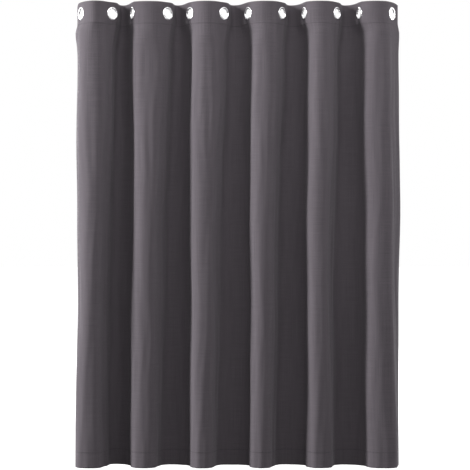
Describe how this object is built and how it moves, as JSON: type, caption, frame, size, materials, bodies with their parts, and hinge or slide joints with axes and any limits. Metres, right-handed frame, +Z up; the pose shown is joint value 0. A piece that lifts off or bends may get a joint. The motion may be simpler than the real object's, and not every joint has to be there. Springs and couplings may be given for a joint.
{
  "type": "eyelet curtain panel",
  "caption": "Room-darkening fabric curtain panel hung in soft vertical folds from metal-look eyelets along its header, gathering along a pole.",
  "frame": {"origin": "on the axis of the pole that the eyelets hang on, at the middle of the panel's hung width", "axes": "+X along the pole to the right as seen from the room, +Y towards the window, +Z up"},
  "size_m": [1.4913, 0.1553, 2.134],
  "materials": {
    "cloth": "matt woven blackout cloth, warm dark grey",
    "interfacing": "stiff non-woven header tape, sealed inside the header",
    "eyelet": "satin silver plated rings"
  },
  "bodies": {
    "fold_01": {"cloth_fold_01": "cloth", "header_interfacing_01": "interfacing"},
    "eyelet_01": {"eyelet_front_01": "eyelet", "eyelet_back_01": "eyelet"},
    "fold_02": {"cloth_fold_02": "cloth", "header_interfacing_02": "interfacing"},
    "eyelet_02": {"eyelet_front_02": "eyelet", "eyelet_back_02": "eyelet"},
    "fold_03": {"cloth_fold_03": "cloth", "header_interfacing_03": "interfacing"},
    "eyelet_03": {"eyelet_front_03": "eyelet", "eyelet_back_03": "eyelet"},
    "fold_04": {"cloth_fold_04": "cloth", "header_interfacing_04": "interfacing"},
    "eyelet_04": {"eyelet_front_04": "eyelet", "eyelet_back_04": "eyelet"},
    "fold_05": {"cloth_fold_05": "cloth", "header_interfacing_05": "interfacing"},
    "eyelet_05": {"eyelet_front_05": "eyelet", "eyelet_back_05": "eyelet"},
    "fold_06": {"cloth_fold_06": "cloth", "header_interfacing_06": "interfacing"},
    "eyelet_06": {"eyelet_front_06": "eyelet", "eyelet_back_06": "eyelet"},
    "fold_07": {"cloth_fold_07": "cloth", "header_interfacing_07": "interfacing"},
    "eyelet_07": {"eyelet_front_07": "eyelet", "eyelet_back_07": "eyelet"},
    "fold_08": {"cloth_fold_08": "cloth", "header_interfacing_08": "interfacing"},
    "eyelet_08": {"eyelet_front_08": "eyelet", "eyelet_back_08": "eyelet"},
    "fold_09": {"cloth_fold_09": "cloth", "header_interfacing_09": "interfacing"},
    "eyelet_09": {"eyelet_front_09": "eyelet", "eyelet_back_09": "eyelet"},
    "fold_10": {"cloth_fold_10": "cloth", "header_interfacing_10": "interfacing"},
    "eyelet_10": {"eyelet_front_10": "eyelet", "eyelet_back_10": "eyelet"},
    "fold_11": {"cloth_fold_11": "cloth", "header_interfacing_11": "interfacing"},
    "eyelet_11": {"eyelet_front_11": "eyelet", "eyelet_back_11": "eyelet"},
    "fold_12": {"cloth_fold_12": "cloth", "header_interfacing_12": "interfacing"},
    "eyelet_12": {"eyelet_front_12": "eyelet", "eyelet_back_12": "eyelet"}
  },
  "joints": [
    {"name": "draw", "type": "slide", "parent": "fold_01", "child": "fold_12", "axis": [1, 0, 0], "range_m": [-0.8538, 0], "deforming": ["cloth_fold_01", "header_interfacing_01", "cloth_fold_02", "header_interfacing_02", "cloth_fold_03", "header_interfacing_03", "cloth_fold_04", "header_interfacing_04", "cloth_fold_05", "header_interfacing_05", "cloth_fold_06", "header_interfacing_06", "cloth_fold_07", "header_interfacing_07", "cloth_fold_08", "header_interfacing_08", "cloth_fold_09", "header_interfacing_09", "cloth_fold_10", "header_interfacing_10", "cloth_fold_11", "header_interfacing_11", "cloth_fold_12", "header_interfacing_12"]},
    {"name": "fold_02_slide", "type": "slide", "parent": "fold_01", "child": "fold_02", "axis": [1, 0, 0], "range_m": [-0.0842, 0]},
    {"name": "fold_03_slide", "type": "slide", "parent": "fold_01", "child": "fold_03", "axis": [1, 0, 0], "range_m": [-0.1405, 0]},
    {"name": "fold_04_slide", "type": "slide", "parent": "fold_01", "child": "fold_04", "axis": [1, 0, 0], "range_m": [-0.2366, 0]},
    {"name": "fold_05_slide", "type": "slide", "parent": "fold_01", "child": "fold_05", "axis": [1, 0, 0], "range_m": [-0.2996, 0]},
    {"name": "fold_06_slide", "type": "slide", "parent": "fold_01", "child": "fold_06", "axis": [1, 0, 0], "range_m": [-0.3914, 0]},
    {"name": "fold_07_slide", "type": "slide", "parent": "fold_01", "child": "fold_07", "axis": [1, 0, 0], "range_m": [-0.4597, 0]},
    {"name": "fold_08_slide", "type": "slide", "parent": "fold_01", "child": "fold_08", "axis": [1, 0, 0], "range_m": [-0.5516, 0]},
    {"name": "fold_09_slide", "type": "slide", "parent": "fold_01", "child": "fold_09", "axis": [1, 0, 0], "range_m": [-0.6145, 0]},
    {"name": "fold_10_slide", "type": "slide", "parent": "fold_01", "child": "fold_10", "axis": [1, 0, 0], "range_m": [-0.7027, 0]},
    {"name": "fold_11_slide", "type": "slide", "parent": "fold_01", "child": "fold_11", "axis": [1, 0, 0], "range_m": [-0.7657, 0]},
    {"name": "eyelet_01_turn", "type": "hinge", "parent": "fold_01", "child": "eyelet_01", "pos_m": [-0.7115, 0, 0], "axis": [0, 0, 1], "range_deg": [-16.6, 0]},
    {"name": "eyelet_02_turn", "type": "hinge", "parent": "fold_02", "child": "eyelet_02", "pos_m": [-0.5715, 0, 0], "axis": [0, 0, 1], "range_deg": [0, 23.9]},
    {"name": "eyelet_03_turn", "type": "hinge", "parent": "fold_03", "child": "eyelet_03", "pos_m": [-0.4775, 0, 0], "axis": [0, 0, 1], "range_deg": [-11.9, 0]},
    {"name": "eyelet_04_turn", "type": "hinge", "parent": "fold_04", "child": "eyelet_04", "pos_m": [-0.3175, 0, 0], "axis": [0, 0, 1], "range_deg": [0, 23.7]},
    {"name": "eyelet_05_turn", "type": "hinge", "parent": "fold_05", "child": "eyelet_05", "pos_m": [-0.2125, 0, 0], "axis": [0, 0, 1], "range_deg": [-18.1, 0]},
    {"name": "eyelet_06_turn", "type": "hinge", "parent": "fold_06", "child": "eyelet_06", "pos_m": [-0.0595, 0, 0], "axis": [0, 0, 1], "range_deg": [0, 23]},
    {"name": "eyelet_07_turn", "type": "hinge", "parent": "fold_07", "child": "eyelet_07", "pos_m": [0.0545, 0, 0], "axis": [0, 0, 1], "range_deg": [-17.6, 0]},
    {"name": "eyelet_08_turn", "type": "hinge", "parent": "fold_08", "child": "eyelet_08", "pos_m": [0.2075, 0, 0], "axis": [0, 0, 1], "range_deg": [0, 19.5]},
    {"name": "eyelet_09_turn", "type": "hinge", "parent": "fold_09", "child": "eyelet_09", "pos_m": [0.3125, 0, 0], "axis": [0, 0, 1], "range_deg": [-10.7, 0]},
    {"name": "eyelet_10_turn", "type": "hinge", "parent": "fold_10", "child": "eyelet_10", "pos_m": [0.4595, 0, 0], "axis": [0, 0, 1], "range_deg": [0, 19.5]},
    {"name": "eyelet_11_turn", "type": "hinge", "parent": "fold_11", "child": "eyelet_11", "pos_m": [0.5645, 0, 0], "axis": [0, 0, 1], "range_deg": [-10.7, 0]},
    {"name": "eyelet_12_turn", "type": "hinge", "parent": "fold_12", "child": "eyelet_12", "pos_m": [0.7115, 0, 0], "axis": [0, 0, 1], "range_deg": [0, 18.1]}
  ],
  "couplings": [
    {"joint": "fold_02_slide", "follows": "draw", "ratio": 0.098384},
    {"joint": "fold_03_slide", "follows": "draw", "ratio": 0.16444},
    {"joint": "fold_04_slide", "follows": "draw", "ratio": 0.27688},
    {"joint": "fold_05_slide", "follows": "draw", "ratio": 0.35067},
    {"joint": "fold_06_slide", "follows": "draw", "ratio": 0.45819},
    {"joint": "fold_07_slide", "follows": "draw", "ratio": 0.5383},
    {"joint": "fold_08_slide", "follows": "draw", "ratio": 0.64582},
    {"joint": "fold_09_slide", "follows": "draw", "ratio": 0.71961},
    {"joint": "fold_10_slide", "follows": "draw", "ratio": 0.82291},
    {"joint": "fold_11_slide", "follows": "draw", "ratio": 0.8967},
    {"joint": "eyelet_01_turn", "follows": "draw", "rad_per_m": 0.33726},
    {"joint": "eyelet_02_turn", "follows": "draw", "rad_per_m": -0.48617},
    {"joint": "eyelet_03_turn", "follows": "draw", "rad_per_m": 0.23951},
    {"joint": "eyelet_04_turn", "follows": "draw", "rad_per_m": -0.48039},
    {"joint": "eyelet_05_turn", "follows": "draw", "rad_per_m": 0.36727},
    {"joint": "eyelet_06_turn", "follows": "draw", "rad_per_m": -0.4677},
    {"joint": "eyelet_07_turn", "follows": "draw", "rad_per_m": 0.35744},
    {"joint": "eyelet_08_turn", "follows": "draw", "rad_per_m": -0.39562},
    {"joint": "eyelet_09_turn", "follows": "draw", "rad_per_m": 0.21658},
    {"joint": "eyelet_10_turn", "follows": "draw", "rad_per_m": -0.39562},
    {"joint": "eyelet_11_turn", "follows": "draw", "rad_per_m": 0.21658},
    {"joint": "eyelet_12_turn", "follows": "draw", "rad_per_m": -0.36727}
  ]
}
